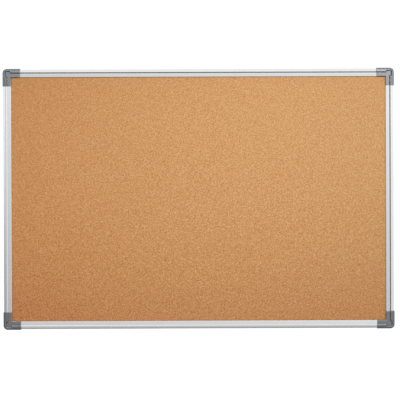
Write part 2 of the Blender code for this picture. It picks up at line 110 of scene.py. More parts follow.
# Moulded corner body
CORNER_LEG = 40 * MM
CORNER_RADIUS = 10 * MM
CORNER_TURN_STEPS = 20
CORNER_BAR = 9.4 * MM
CORNER_BLOCK = 19.5 * MM
PAD_INSET = 0.5 * MM
TONGUE_TIP = 48 * MM
TONGUE_LOW = RAIL_INSET + RAIL_WALL + CLEARANCE
TONGUE_HIGH = RAIL_INSET + RAIL_WEB - RAIL_WALL - CLEARANCE
TONGUE_BACK = RAIL_BACK - RAIL_WALL - CLEARANCE
TONGUE_EASING = 0.8 * MM

# Pocket that the screw cover lies in
POCKET_LEG = 10.7 * MM  # across, along the legs
POCKET_CORNER = 6.7 * MM  # across, round the corner
POCKET_JOG = 17.4 * MM  # along, at the middle of the slant that joins the two
POCKET_SLANT = math.radians(62)
STEP_DEPTH = 2 * MM  # from the ridge down to the cover, on a 45 degree slope
STEP_OVERCUT = 0.2 * MM
POCKET_FLOOR = RAIL_FRONT + RAIL_STEP_DROP
TONGUE_FRONT = POCKET_FLOOR + RAIL_WALL + CLEARANCE

# Screw cover
COVER_GAP = 0.35 * MM
COVER_THICKNESS = 1.2 * MM
COVER_INNER = RAIL_INSET + RAIL_FACE  # flush with the lips of the rails
COVER_BEVEL = 0.3 * MM
COVER_SLOPE = 0.8 * MM  # the wider bevel along the two inner sides
SPIGOT_RADIUS = 4.2 * MM
SPIGOT_BORE = 3.2 * MM
SPIGOT_DEEP = 5.4 * MM

# Hole for a wall screw, under the cover
WALL_HOLE_AT = 11.8 * MM
WALL_HOLE_RADIUS = 2.25 * MM
COUNTERBORE_RADIUS = 4.5 * MM
COUNTERBORE_DEEP = 8.5 * MM

# Panel
PANEL_EDGE = RAIL_INSET + RAIL_WEB + CLEARANCE
PANEL_CHAMFER = 11 * MM
CORK_THICKNESS = 2.5 * MM
CORE_THICKNESS = 5.5 * MM
BACKING_THICKNESS = 0.4 * MM
CORK_FRONT = POCKET_FLOOR + RAIL_LIP + CLEARANCE
PRESSED_BORDER = 10.2 * MM  # the cork swells a little inside the lips that press its border
PRESSED_DEPTH = 0.15 * MM

# Self-tapping screw that fixes a rail to a tongue, from behind
SCREW_ALONG = 32 * MM
SCREW_ACROSS = (TONGUE_LOW + TONGUE_HIGH) / 2
SCREW_RADIUS = 1.45 * MM
SCREW_LENGTH = 8 * MM
SCREW_TIP = 1.6 * MM
SCREW_HOLE_RADIUS = 1.75 * MM
SCREW_HEAD_RADIUS = 2.8 * MM
SCREW_HEAD_HEIGHT = 1.1 * MM
SCREW_HEAD_EDGE = 0.5 * MM  # height of the head's upright edge, under its dome
SCREW_HEAD_GAP = 0.1 * MM
RECESS_WIDTH = 0.8 * MM
RECESS_SPAN = 3 * MM
RECESS_DEPTH = 0.6 * MM

ROUND_SEGMENTS = 48
WELD = 0.00001
OVERLAP = 1 * MM  # how far a cutter runs past what it cuts
SMOOTH_ANGLE = math.radians(35)
FLAT_ANGLE = math.radians(1)  # edges below it only divide a flat face
QUARTER = math.pi / 2

# Looks
CORK_TONES = (  # from the darkest granules to the lightest
    (0.20, (0.435, 0.147, 0.028)),
    (0.45, (0.62, 0.270, 0.090)),
    (0.70, (0.74, 0.396, 0.170)),
    (0.95, (0.85, 0.525, 0.285)),
)
CORK_MEAN_TONE = 0.56
CORK_BARK = (0.14, 0.05, 0.018)
SIDE_RAILS_BEYOND = 0.43  # from the middle
PLASTIC_EDGE = 0.4 * MM
SCREW_SPIN = 0.7  # radians from the heads of one rail to the next, so that their recesses don't line up

# Studio
FLOOR_BELOW = 1.6
FLOOR_SIDE = 60.0
BACKDROP = (0.82, 0.97, 0.74, 1.05)  # seen along +Y it is white, and pale grey from elsewhere
WORLD_TOP = 0.97  # the brightest that is mirrored in front of the board
WORLD_FRONT = 0.79  # straight in front of it
WORLD_BEHIND = 1.0
WORLD_LEAN = (0.70, 0, 0.75)  # the studio brightens this way
WORLD_DIFFUSE = 0.68  # the share of it that matt surfaces get
LAMPS = (  # name, place, target, size, watts, and how the names of what it falls on start
    ("key", (0.85, -1.5, 1.35), (0.1, 0, 0.05), 1.2, 36.4, ("cork", "soft", "backing", "screw")),
    ("sheen", (0.35, -3, 1.35), (0, 0, 0.1), 1.6, 80, ("corner",)),
    ("edge", (-2.1, -1.1, 0.6), (-0.45, 0, 0.1), 1.5, 4, ("rail_left",)),
    ("left_corner", (-2.1, -1.1, 0.6), (-0.45, 0, 0.1), 1.5, 9, ("corner_body_top_left",)),
    (
        "right_corner",
        (2.1, -1.1, 0.6),
        (0.45, 0, 0.1),
        1.5,
        13,
        ("corner_body_top_right", "corner_cover_top_left"),
    ),
    ("bottom_corners", (0.1, -0.7, 1.9), (0, 0, -0.3), 2, 28, ("corner_body_bottom", "corner_cover_bottom")),
)
CAMERA_PLACE = (-0.0077, -3.0, 0.0121)
CAMERA_YAW, CAMERA_PITCH, CAMERA_ROLL = 0.00352, -0.00497, -0.00361  # radians, from looking along +Y
CAMERA_LENS = 117.18
CAMERA_SENSOR = 36.0


# ---------------------------------------------------------------- shape helpers


def helper(name, data):
    """An object that only shapes others and is removed again."""
    obj = bpy.data.objects.new(name, data)
    bpy.context.scene.collection.objects.link(obj)
    return obj


def evaluated_mesh(obj, name):
    bpy.context.view_layer.update()
    graph = bpy.context.evaluated_depsgraph_get()
    mesh = bpy.data.meshes.new_from_object(obj.evaluated_get(graph))
    mesh.name = name
    return mesh


def y_of(deep):
    """World Y of a depth behind the front plane."""
    return deep - BOARD_DEPTH / 2


def arc(centre, radius, start, turn, steps):
    """Points on a circle, from the angle start and round by turn, both ends included."""
    angles = [start + turn * i / steps for i in range(steps + 1)]
    return [(centre[0] + radius * math.cos(a), centre[1] + radius * math.sin(a)) for a in angles]


def flat_curve(name, loops, thickness, flare=0.0):
    """A filled flat outline, its first loop outside and any others holes. flare widens its middle."""
    curve = bpy.data.curves.new(name, "CURVE")
    curve.dimensions = "2D"
    curve.fill_mode = "BOTH"
    curve.extrude = thickness / 2
    curve.bevel_depth = flare
    curve.bevel_resolution = 0
    for loop in loops:
        spline = curve.splines.new("POLY")
        spline.points.add(len(loop) - 1)
        for point, (x, y) in zip(spline.points, loop):
            point.co = (x, y, 0, 1)
        spline.use_cyclic_u = True
    return curve


def closed_mesh(name, data, matrix, modifier=None):
    """A curve, or a profile with a modifier, as a mesh, its seams welded, carried by matrix."""
    obj = helper(name, data)
    if modifier:
        modifier(obj)
    mesh = evaluated_mesh(obj, name)
    bpy.data.objects.remove(obj)
    bm = bmesh.new()
    bm.from_mesh(mesh)
    bmesh.ops.remove_doubles(bm, verts=bm.verts, dist=WELD)
    bmesh.ops.transform(bm, matrix=matrix, verts=bm.verts)
    bmesh.ops.recalc_face_normals(bm, faces=bm.faces)
    bm.to_mesh(mesh)
    bm.free()
    return mesh


def section_to_x():
    """Stands a section drawn in (Y, Z) upright, its thickness along X."""
    return Matrix.Rotation(QUARTER, 4, "Z") @ Matrix.Rotation(QUARTER, 4, "X")


def plate_mesh(name, outlines, front, back, flare=0.0):
    """A plate parallel to the cork, from (x, z) outlines, between two depths."""
    curve = flat_curve(name, outlines, back - front - 2 * flare, flare)
    upright = Matrix.Translation((0, y_of((front + back) / 2), 0)) @ Matrix.Rotation(QUARTER, 4, "X")
    return closed_mesh(name, curve, upright)


def corner_plate(name, outline, front, back, flare=0.0):
    """A helper plate in a corner's own frame, its outline given inwards from the two outer edges."""
    return helper(name, plate_mesh(name, [[(-a, -b) for a, b in outline]], front, back, flare))


def box(name, low, high):
    """A helper box between two corners."""
    bm = bmesh.new()
    bmesh.ops.create_cube(bm, size=1)
    size = Vector(high) - Vector(low)
    centre = (Vector(high) + Vector(low)) / 2
    bmesh.ops.transform(bm, matrix=Matrix.Translation(centre) @ Matrix.Diagonal((*size, 1)), verts=bm.verts)
    mesh = bpy.data.meshes.new(name)
    bm.to_mesh(mesh)
    bm.free()
    return helper(name, mesh)


def rod(name, radius, x, z, front, back):
    """A helper cylinder along Y between two depths."""
    bm = bmesh.new()
    bmesh.ops.create_cone(
        bm, cap_ends=True, segments=ROUND_SEGMENTS, radius1=radius, radius2=radius, depth=back - front
    )
    along_y = Matrix.Translation((x, y_of((front + back) / 2), z)) @ Matrix.Rotation(QUARTER, 4, "X")
    bmesh.ops.transform(bm, matrix=along_y, verts=bm.verts)
    mesh = bpy.data.meshes.new(name)
    bm.to_mesh(mesh)
    bm.free()
    return helper(name, mesh)


def turn_about_axis(obj):
    """Turns a profile drawn in X and Z into a round body about Z."""
    screw = obj.modifiers.new("turned", "SCREW")
    screw.axis = "Z"
    screw.steps = screw.render_steps = ROUND_SEGMENTS
    screw.use_merge_vertices = True
    screw.merge_threshold = WELD


def turned_mesh(name, profile):
    """A round body on the Y axis from (radius, deep) points, the first and the last on the axis."""
    bm = bmesh.new()
    points = [bm.verts.new((radius, 0, -y_of(deep))) for radius, deep in profile]
    for first, second in zip(points, points[1:]):
        bm.edges.new((first, second))
    mesh = bpy.data.meshes.new(name)
    bm.to_mesh(mesh)
    bm.free()
    return closed_mesh(name, mesh, Matrix.Rotation(QUARTER, 4, "X"), turn_about_axis)


def build(base, joined=(), cut=(), name=None, solver="EXACT"):
    """One mesh from base with the joined helpers added, then the cut ones taken away."""
    steps = [("UNION", tool) for tool in joined] + [("DIFFERENCE", tool) for tool in cut]
    for operation, tool in steps:
        modifier = base.modifiers.new(tool.name, "BOOLEAN")
        modifier.operation = operation
        modifier.solver = solver
        modifier.object = tool
    mesh = evaluated_mesh(base, name or base.name)
    mesh.shade_smooth()
    mesh.set_sharp_from_angle(angle=SMOOTH_ANGLE)
    for tool in (base, *joined, *cut):
        bpy.data.objects.remove(tool)
    return mesh


def crown(outwards):
    """Depth of the outer band below the ridge, at a distance outwards from the ridge."""
    return CROWN_SLOPE * outwards + CROWN_CURVE * outwards**2


def outer_band():
    """The rounded outer edge and the crowned band up to the ridge, as (across, deep) points.

    Rails and corners share it, each from its own outer side and its own ridge.
    """
    edge = EDGE_RADIUS * (1 - math.cos(EDGE_TURN))
    shoulder = crown(RAIL_RIDGE - edge) + EDGE_RADIUS * math.sin(EDGE_TURN)
    rounded = arc((EDGE_RADIUS, shoulder), EDGE_RADIUS, math.pi, EDGE_TURN, EDGE_STEPS)
    stations = [edge + (RAIL_RIDGE - edge) * i / CROWN_STEPS for i in range(1, CROWN_STEPS + 1)]
    return rounded + [(across, crown(RAIL_RIDGE - across)) for across in stations]


def rail_section():
    """The extrusion's outline and its hollow chamber, from its outer side and its ridge."""
    lip_back = RAIL_STEP_DROP + RAIL_LIP
    rear_front = RAIL_DEPTH - RAIL_WALL
    lip_centre = (RAIL_FACE - RAIL_LIP_RADIUS, RAIL_STEP_DROP + RAIL_LIP_RADIUS)
    outline = [(0, RAIL_DEPTH)]
    outline += outer_band()
    outline += [(RAIL_STEP_FOOT, RAIL_STEP_DROP)]
    outline += arc(lip_centre, RAIL_LIP_RADIUS, -QUARTER, QUARTER, EDGE_STEPS)
    outline += [(RAIL_FACE, lip_back), (RAIL_WEB, lip_back), (RAIL_WEB, rear_front)]
    outline += [(RAIL_REAR_LIP, rear_front), (RAIL_REAR_LIP, RAIL_DEPTH)]
    chamber = [(RAIL_WALL, rear_front), (RAIL_WALL, CHAMBER_SHOULDER), (CHAMBER_ROOF_END, CHAMBER_ROOF)]
    chamber += [(RAIL_WEB - RAIL_WALL, RAIL_STEP_DROP + RAIL_WALL), (RAIL_WEB - RAIL_WALL, rear_front)]
    return outline, chamber


def rail_mesh(name, length):
    """A rail along X, its outer side at z = 0 and its screw holes in the rear wall."""
    outline, chamber = rail_section()
    loops = [[(deep + y_of(RAIL_FRONT), -across) for across, deep in loop] for loop in (outline, chamber)]
    rail = helper(name, closed_mesh(name, flat_curve(name, loops, length), section_to_x()))
    screw_x = length / 2 + CORNER_BLOCK + CLEARANCE - SCREW_ALONG
    screw_z = RAIL_INSET - SCREW_ACROSS
    front, back = RAIL_BACK - 2 * RAIL_WALL, RAIL_BACK + OVERLAP
    holes = [
        rod("screw_hole_left", SCREW_HOLE_RADIUS, -screw_x, screw_z, front, back),
        rod("screw_hole_right", SCREW_HOLE_RADIUS, screw_x, screw_z, front, back),
    ]
    return build(rail, cut=holes, name=name)


def corner_bar():
    """The solid bar with the crowned front, along one leg, round the corner and along the other."""
    section = [(0, RAIL_BACK)] + outer_band() + [(CORNER_BAR, 0), (CORNER_BAR, RAIL_BACK)]
    leg = CORNER_LEG + OVERLAP
    bm = bmesh.new()
    face = bm.faces.new([bm.verts.new((-leg, y_of(deep), -across)) for across, deep in section])
    swept = [face, *face.edges, *face.verts]
    straight = leg - CORNER_RADIUS
    turn_centre = (-CORNER_RADIUS, 0, -CORNER_RADIUS)
    for dvec, angle, steps in (
        ((straight, 0, 0), 0, 1),
        ((0, 0, 0), QUARTER, CORNER_TURN_STEPS),
        ((0, 0, -straight), 0, 1),
    ):
        spun = bmesh.ops.spin(
            bm, geom=swept, cent=turn_centre, axis=(0, 1, 0), dvec=dvec, angle=angle, steps=steps
        )
        swept = spun["geom_last"]
    bmesh.ops.recalc_face_normals(bm, faces=bm.faces)
    mesh = bpy.data.meshes.new("corner_bar")
    bm.to_mesh(mesh)
    bm.free()
    return helper("corner_bar", mesh)


def pocket_outline(inset=0.0):
    """The rim's inner line from the slant on one leg round to the slant on the other, drawn in by inset."""

    def slant(across):
        rise = across - (POCKET_LEG + POCKET_CORNER) / 2
        return POCKET_JOG + rise / math.tan(POCKET_SLANT) - inset / math.sin(POCKET_SLANT)

    leg, near = POCKET_LEG + inset, POCKET_CORNER + inset
    turn = arc((CORNER_RADIUS,) * 2, CORNER_RADIUS - near, -QUARTER, -QUARTER, CORNER_TURN_STEPS)
    one_side = [(slant(leg), leg), (slant(near), near)]
    return one_side + turn + mirrored(reversed(one_side))


def open_pocket(name, inset, front, back, flare=0.0):
    """A helper plate that fills the pocket and runs on inwards and past the ends of the legs."""
    far = CORNER_LEG + 5 * OVERLAP
    leg = POCKET_LEG + inset
    outline = [(far, leg)] + pocket_outline(inset) + [(leg, far), (far, far)]
    return corner_plate(name, outline, front, back, flare)


def rounded_block(low, high):
    """A square from low to high inwards, its outer corner concentric with the board's."""
    turn = arc((CORNER_RADIUS,) * 2, CORNER_RADIUS - low, -QUARTER, -QUARTER, CORNER_TURN_STEPS)
    return [(high, low)] + turn + [(low, high), (high, high)]


def mirrored(points):
    """The same shape with its two edges swapped, for the other leg."""
    return [(b, a) for a, b in points]


def both_legs(name, along, across, front, back):
    """Helper plates on the two legs, between two distances along and two across."""
    outline = [(along[0], across[0]), (along[1], across[0]), (along[1], across[1]), (along[0], across[1])]
    return [
        corner_plate(f"{name}_x", outline, front, back),
        corner_plate(f"{name}_z", mirrored(outline), front, back),
    ]


def rail_passages():
    """What a rail and its clearance take out of each leg, as one helper for each."""
    behind, beyond = BOARD_DEPTH + OVERLAP, CORNER_BLOCK + 2 * OVERLAP
    under_band = RAIL_FRONT - CLEARANCE
    section = [(RAIL_INSET - CLEARANCE, behind)]
    section += [(RAIL_INSET - CLEARANCE + across, under_band + deep) for across, deep in outer_band()]
    section += [(RAIL_INSET + RAIL_STEP_FOOT, POCKET_FLOOR - CLEARANCE)]
    section += [(beyond, POCKET_FLOOR - CLEARANCE), (beyond, behind)]
    loop = [(y_of(deep), -across) for across, deep in section]
    length = CORNER_LEG + 3 * OVERLAP - CORNER_BLOCK
    on_x = Matrix.Translation((-CORNER_BLOCK - length / 2, 0, 0)) @ section_to_x()
    passages = []
    for name, matrix in (("passage_x", on_x), ("passage_z", swap_legs() @ on_x)):
        curve = flat_curve(name, [loop], length)
        passages.append(helper(name, closed_mesh(name, curve, matrix)))
    return passages


def swap_legs():
    """Mirrors a corner in its diagonal, which exchanges its two legs."""
    return Matrix(((0, 0, 1, 0), (0, 1, 0, 0), (1, 0, 0, 0), (0, 0, 0, 1)))


def tongues():
    """The two bars that plug into the rails' chambers, their ends eased."""
    low, high = TONGUE_LOW, TONGUE_HIGH
    root = CORNER_BLOCK - 4 * OVERLAP
    found = both_legs("tongue", (root, TONGUE_TIP), (low, high), TONGUE_FRONT, TONGUE_BACK)
    for tongue in found:
        bevel = tongue.modifiers.new("eased_edges", "BEVEL")
        bevel.width = TONGUE_EASING
        bevel.segments = 1
    return found


def corner_body_mesh():
    """The moulded corner, for the top right: its outer corner at the origin, its legs along -X and -Z."""
    far = CORNER_LEG + 5 * OVERLAP
    block = rounded_block(2 * OVERLAP, CORNER_BLOCK + OVERLAP / 2)
    pad = rounded_block(PAD_INSET, CORNER_BLOCK - OVERLAP / 2)
    beside = (CORNER_BAR - OVERLAP, POCKET_LEG + OVERLAP)
    joined = [
        corner_plate("block", block, POCKET_FLOOR - OVERLAP, RAIL_BACK + OVERLAP / 2),
        corner_plate("pad", pad, RAIL_BACK - OVERLAP, BOARD_DEPTH),
        *both_legs("shoulder", (CORNER_RADIUS, far - OVERLAP), beside, STEP_OVERCUT, POCKET_FLOOR + OVERLAP),
    ]
    notch_edge = PANEL_EDGE - CLEARANCE
    notch_cut = PANEL_CHAMFER + CLEARANCE
    notch = [(notch_edge + notch_cut, notch_edge), (far, notch_edge), (far, far), (notch_edge, far)]
    notch += [(notch_edge, notch_edge + notch_cut)]
    panel_back = panel_layers()["backing_sheet"][1]
    cuts = [
        open_pocket("step", STEP_OVERCUT, -2 * STEP_DEPTH, STEP_DEPTH + STEP_OVERCUT, flare=1.4 * STEP_DEPTH),
        open_pocket("pocket", 0, -OVERLAP, POCKET_FLOOR),
        *both_legs("trim", (CORNER_LEG, far + OVERLAP), (-OVERLAP, CORNER_BLOCK), -OVERLAP, BOARD_DEPTH),
        corner_plate("panel_notch", notch, POCKET_FLOOR + RAIL_LIP, panel_back + CLEARANCE),
        *rail_passages(),
    ]
    shell = build(corner_bar(), joined, cuts, "corner_shell", solver="MANIFOLD")
    at = -WALL_HOLE_AT
    along, across = -SCREW_ALONG, -SCREW_ACROSS
    hole_front, hole_back = RAIL_BACK - SCREW_LENGTH - OVERLAP, RAIL_BACK
    holes = [
        rod("wall_hole", WALL_HOLE_RADIUS, at, at, OVERLAP, BOARD_DEPTH + OVERLAP),
        rod("counterbore", COUNTERBORE_RADIUS, at, at, OVERLAP, COUNTERBORE_DEEP),
        rod("screw_hole_x", SCREW_HOLE_RADIUS, along, across, hole_front, hole_back),
        rod("screw_hole_z", SCREW_HOLE_RADIUS, across, along, hole_front, hole_back),
    ]
    return build(helper("corner_shell", shell), tongues(), holes, "corner_body", solver="MANIFOLD")


def bevel_cover(plate):
    """Eases a cover plate's edges, the front ones along its two inner sides with a wider slope."""

    def borders_panel(edge):
        start, end = (vert.co for vert in edge.verts)
        inner = any(max(abs(start[i] + COVER_INNER), abs(end[i] + COVER_INNER)) < WELD for i in (0, 2))
        return inner and max(start.y, end.y) < y_of(STEP_DEPTH) + WELD

    bm = bmesh.new()
    bm.from_mesh(plate.data)
    bmesh.ops.dissolve_limit(bm, angle_limit=FLAT_ANGLE, verts=bm.verts, edges=bm.edges)
    weight = bm.edges.layers.float.new("bevel_weight_edge")
    for edge in bm.edges:
        if borders_panel(edge):
            edge[weight] = 1
        elif edge.calc_face_angle() > SMOOTH_ANGLE:
            edge[weight] = COVER_BEVEL / COVER_SLOPE
    bm.to_mesh(plate.data)
    bm.free()
    bevel = plate.modifiers.new("eased_edges", "BEVEL")
    bevel.limit_method = "WEIGHT"
    bevel.width = COVER_SLOPE
    bevel.segments = 1


def cover_mesh():
    """The screw cover: an L-shaped plate that lies in the pocket, with a spigot for the counterbore.

    Its origin is on the spigot's axis, along which it pulls off.
    """
    end, outer, inner = CORNER_LEG - CLEARANCE, POCKET_LEG + COVER_GAP, COVER_INNER
    outline = [(end, outer)] + pocket_outline(COVER_GAP)
    outline += [(outer, end), (inner, end), (inner, inner), (end, inner)]
    plate = corner_plate("cover_plate", outline, STEP_DEPTH, STEP_DEPTH + COVER_THICKNESS)
    bevel_cover(plate)
    at = -WALL_HOLE_AT
    plate_back = STEP_DEPTH + COVER_THICKNESS
    spigot = rod("spigot", SPIGOT_RADIUS, at, at, plate_back - COVER_THICKNESS / 2, SPIGOT_DEEP)
    bore = rod("spigot_bore", SPIGOT_BORE, at, at, plate_back, SPIGOT_DEEP + OVERLAP)
    mesh = build(plate, joined=[spigot], cut=[bore], name="corner_cover")
    mesh.transform(Matrix.Translation((WALL_HOLE_AT, 0, WALL_HOLE_AT)))
    return mesh


def screw_mesh():
    """A pan-head self-tapping screw on the Y axis, its head towards the wall."""
    seat = RAIL_BACK + SCREW_HEAD_GAP
    tip = seat - SCREW_LENGTH
    top = seat + SCREW_HEAD_HEIGHT
    dome = SCREW_HEAD_HEIGHT - SCREW_HEAD_EDGE
    rounding = arc((SCREW_HEAD_RADIUS - dome, top - dome), dome, QUARTER, -QUARTER, EDGE_STEPS)
    head = [(0, top)] + rounding + [(SCREW_HEAD_RADIUS, seat)]
    shank = [(SCREW_RADIUS, seat), (SCREW_RADIUS, tip + SCREW_TIP), (0, tip)]
    turned = helper("rail_screw", turned_mesh("rail_screw", head + shank))
    half, wide = RECESS_SPAN / 2, RECESS_WIDTH / 2
    low, high = y_of(top - RECESS_DEPTH), y_of(top + OVERLAP)
    recess = [
        box("recess_x", (-half, low, -wide), (half, high, wide)),
        box("recess_z", (-wide, low, -half), (wide, high, half)),
    ]
    return build(turned, cut=recess)


def panel_layers():
    """Front and back depths of the panel's three layers, from the cork to the wall side."""
    depths, front = {}, CORK_FRONT
    for name, thickness in (
        ("cork_sheet", CORK_THICKNESS),
        ("softboard_core", CORE_THICKNESS),
        ("backing_sheet", BACKING_THICKNESS),
    ):
        depths[name] = (front, front + thickness)
        front += thickness + CLEARANCE
    return depths


def panel_outline():
    """The panel's outline, its corners cut off to clear the wall screws."""
    half_x, half_z = CAD_BOX[1].x - PANEL_EDGE, CAD_BOX[1].z - PANEL_EDGE
    cut = PANEL_CHAMFER
    quadrant = [(half_x, half_z - cut), (half_x - cut, half_z)]
    points = quadrant + [(-x, z) for x, z in reversed(quadrant)]
    return points + [(-x, -z) for x, z in points]


def panel_mesh(name):
    front, back = panel_layers()[name]
    return plate_mesh(name, [panel_outline()], front, back)


def cork_mesh():
    """The cork sheet, its front standing a little proud inside the border that the lips press."""
    mesh = panel_mesh("cork_sheet")
    bm = bmesh.new()
    bm.from_mesh(mesh)
    bmesh.ops.dissolve_limit(bm, angle_limit=FLAT_ANGLE, verts=bm.verts, edges=bm.edges)
    front = min(bm.faces, key=lambda face: face.calc_center_median().y)
    bmesh.ops.inset_region(bm, faces=[front], thickness=PRESSED_BORDER, depth=PRESSED_DEPTH)
    bm.to_mesh(mesh)
    bm.free()
    return mesh


# ---------------------------------------------------------------- materials


class Nodes:
    """Adds nodes to a tree and links them."""

    def __init__(self, tree):
        self.tree = tree

    def node(self, kind, inputs=None, **settings):
        """A node with these settings. An input takes a number, a colour or another node's output."""
        made = self.tree.nodes.new(kind)
        for key, value in settings.items():
            setattr(made, key, value)
        self.feed(made, inputs or {})
        return made

    def feed(self, target, inputs):
        for key, value in inputs.items():
            if isinstance(value, bpy.types.NodeSocket):
                self.tree.links.new(value, target.inputs[key])
            else:
                target.inputs[key].default_value = value

    def math(self, operation, first, second=0.0, third=0.0):
        return self.node("ShaderNodeMath", {0: first, 1: second, 2: third}, operation=operation).outputs[0]

    def vector_math(self, operation, inputs, output="Vector"):
        return self.node("ShaderNodeVectorMath", inputs, operation=operation).outputs[output]

    def remap(self, value, low, high, to_low, to_high, smooth=False):
        inputs = {"Value": value, "From Min": low, "From Max": high, "To Min": to_low, "To Max": to_high}
        kind = "SMOOTHSTEP" if smooth else "LINEAR"
        return self.node("ShaderNodeMapRange", inputs, interpolation_type=kind).outputs["Result"]

    def split(self, vector):
        """The X, Y and Z of a vector."""
        parts = self.node("ShaderNodeSeparateXYZ", {"Vector": vector}).outputs
        return parts["X"], parts["Y"], parts["Z"]


class Surface(Nodes):
    """A Principled material whose inputs are driven by nodes."""

    def __init__(self, name):
        self.material = bpy.data.materials.new(name)
        self.material.use_nodes = True
        super().__init__(self.material.node_tree)
        self.shader = self.tree.nodes["Principled BSDF"]
        self.where = self.node("ShaderNodeTexCoord").outputs["Object"]

    def principled(self, **inputs):
        self.feed(self.shader, {key.replace("_", " "): value for key, value in inputs.items()})

    def stretched(self, scale):
        return self.node("ShaderNodeMapping", {"Vector": self.where, "Scale": scale}).outputs["Vector"]

    def noise(self, scale, detail=4.0, roughness=0.5, vector=None, distortion=0.0, output="Fac"):
        inputs = {
            "Vector": vector or self.where,
            "Scale": scale,
            "Detail": detail,
            "Roughness": roughness,
            "Distortion": distortion,
        }
        return self.node("ShaderNodeTexNoise", inputs).outputs[output]

    def cells(self, scale, vector):
        """(distance to the cell's centre, a random number for each cell)"""
        made = self.node("ShaderNodeTexVoronoi", {"Vector": vector, "Scale": scale})
        split = self.node("ShaderNodeSeparateColor", {"Color": made.outputs["Color"]})
        return made.outputs["Distance"], split.outputs["Red"]

    def spots(self, cell, share, edge, reach):
        """1 in the middle of a few of the cells, share being where their random numbers start."""
        centre, number = cell
        chosen = self.remap(number, share, share + 0.02, 0, 1)
        return self.math("MULTIPLY", chosen, self.remap(centre, edge, reach, 1, 0))

    def ramp(self, value, *stops):
        """A colour from (position, colour) stops."""
        made = self.node("ShaderNodeValToRGB", {"Fac": value})
        elements = made.color_ramp.elements
        while len(elements) < len(stops):
            elements.new(0.5)
        for element, (position, colour) in zip(elements, stops):
            element.position = position
            element.color = (*colour, 1)
        return made.outputs["Color"]

    def mixed(self, share, first, second, blend="MIX"):
        made = self.node("ShaderNodeMix", data_type="RGBA", blend_type=blend)
        colours = [socket for socket in made.inputs if socket.type == "RGBA"]
        factor = next(socket for socket in made.inputs if socket.type == "VALUE")
        for socket, value in ((factor, share), (colours[0], first), (colours[1], second)):
            if isinstance(value, bpy.types.NodeSocket):
                self.tree.links.new(value, socket)
            elif isinstance(value, tuple):
                socket.default_value = (*value, 1)
            else:
                socket.default_value = value
        return next(out for out in made.outputs if out.type == "RGBA")

    def tinted(self, colour, tint):
        return self.mixed(1.0, colour, tint, "MULTIPLY")

    def shaded(self, colour, level):
        grey = self.node("ShaderNodeCombineColor", {0: level, 1: level, 2: level}).outputs[0]
        return self.tinted(colour, grey)

    def openness(self, distance):
        """1 in the open and less in a nook, as far as distance round the point."""
        return self.node("ShaderNodeAmbientOcclusion", {"Distance": distance}, samples=8).outputs["AO"]

    def rounded_edges(self, radius):
        return self.node("ShaderNodeBevel", {"Radius": radius}, samples=6).outputs["Normal"]

    def worn_and_highlit_edges(self, radius, openness):
        """1 on a convex edge and 0 on a flat or in a nook."""
        flat = self.node("ShaderNodeNewGeometry").outputs["Normal"]
        agree = self.vector_math("DOT_PRODUCT", {0: flat, 1: self.rounded_edges(radius)}, "Value")
        bent = self.remap(agree, 0.93, 0.995, 1, 0)
        return self.math("MULTIPLY", bent, self.remap(openness, 0.55, 0.8, 0, 1))

    def bump(self, height, distance, strength=1.0, normal=None):
        inputs = {"Height": height, "Distance": distance, "Strength": strength}
        if normal is not None:
            inputs["Normal"] = normal
        return self.node("ShaderNodeBump", inputs).outputs["Normal"]


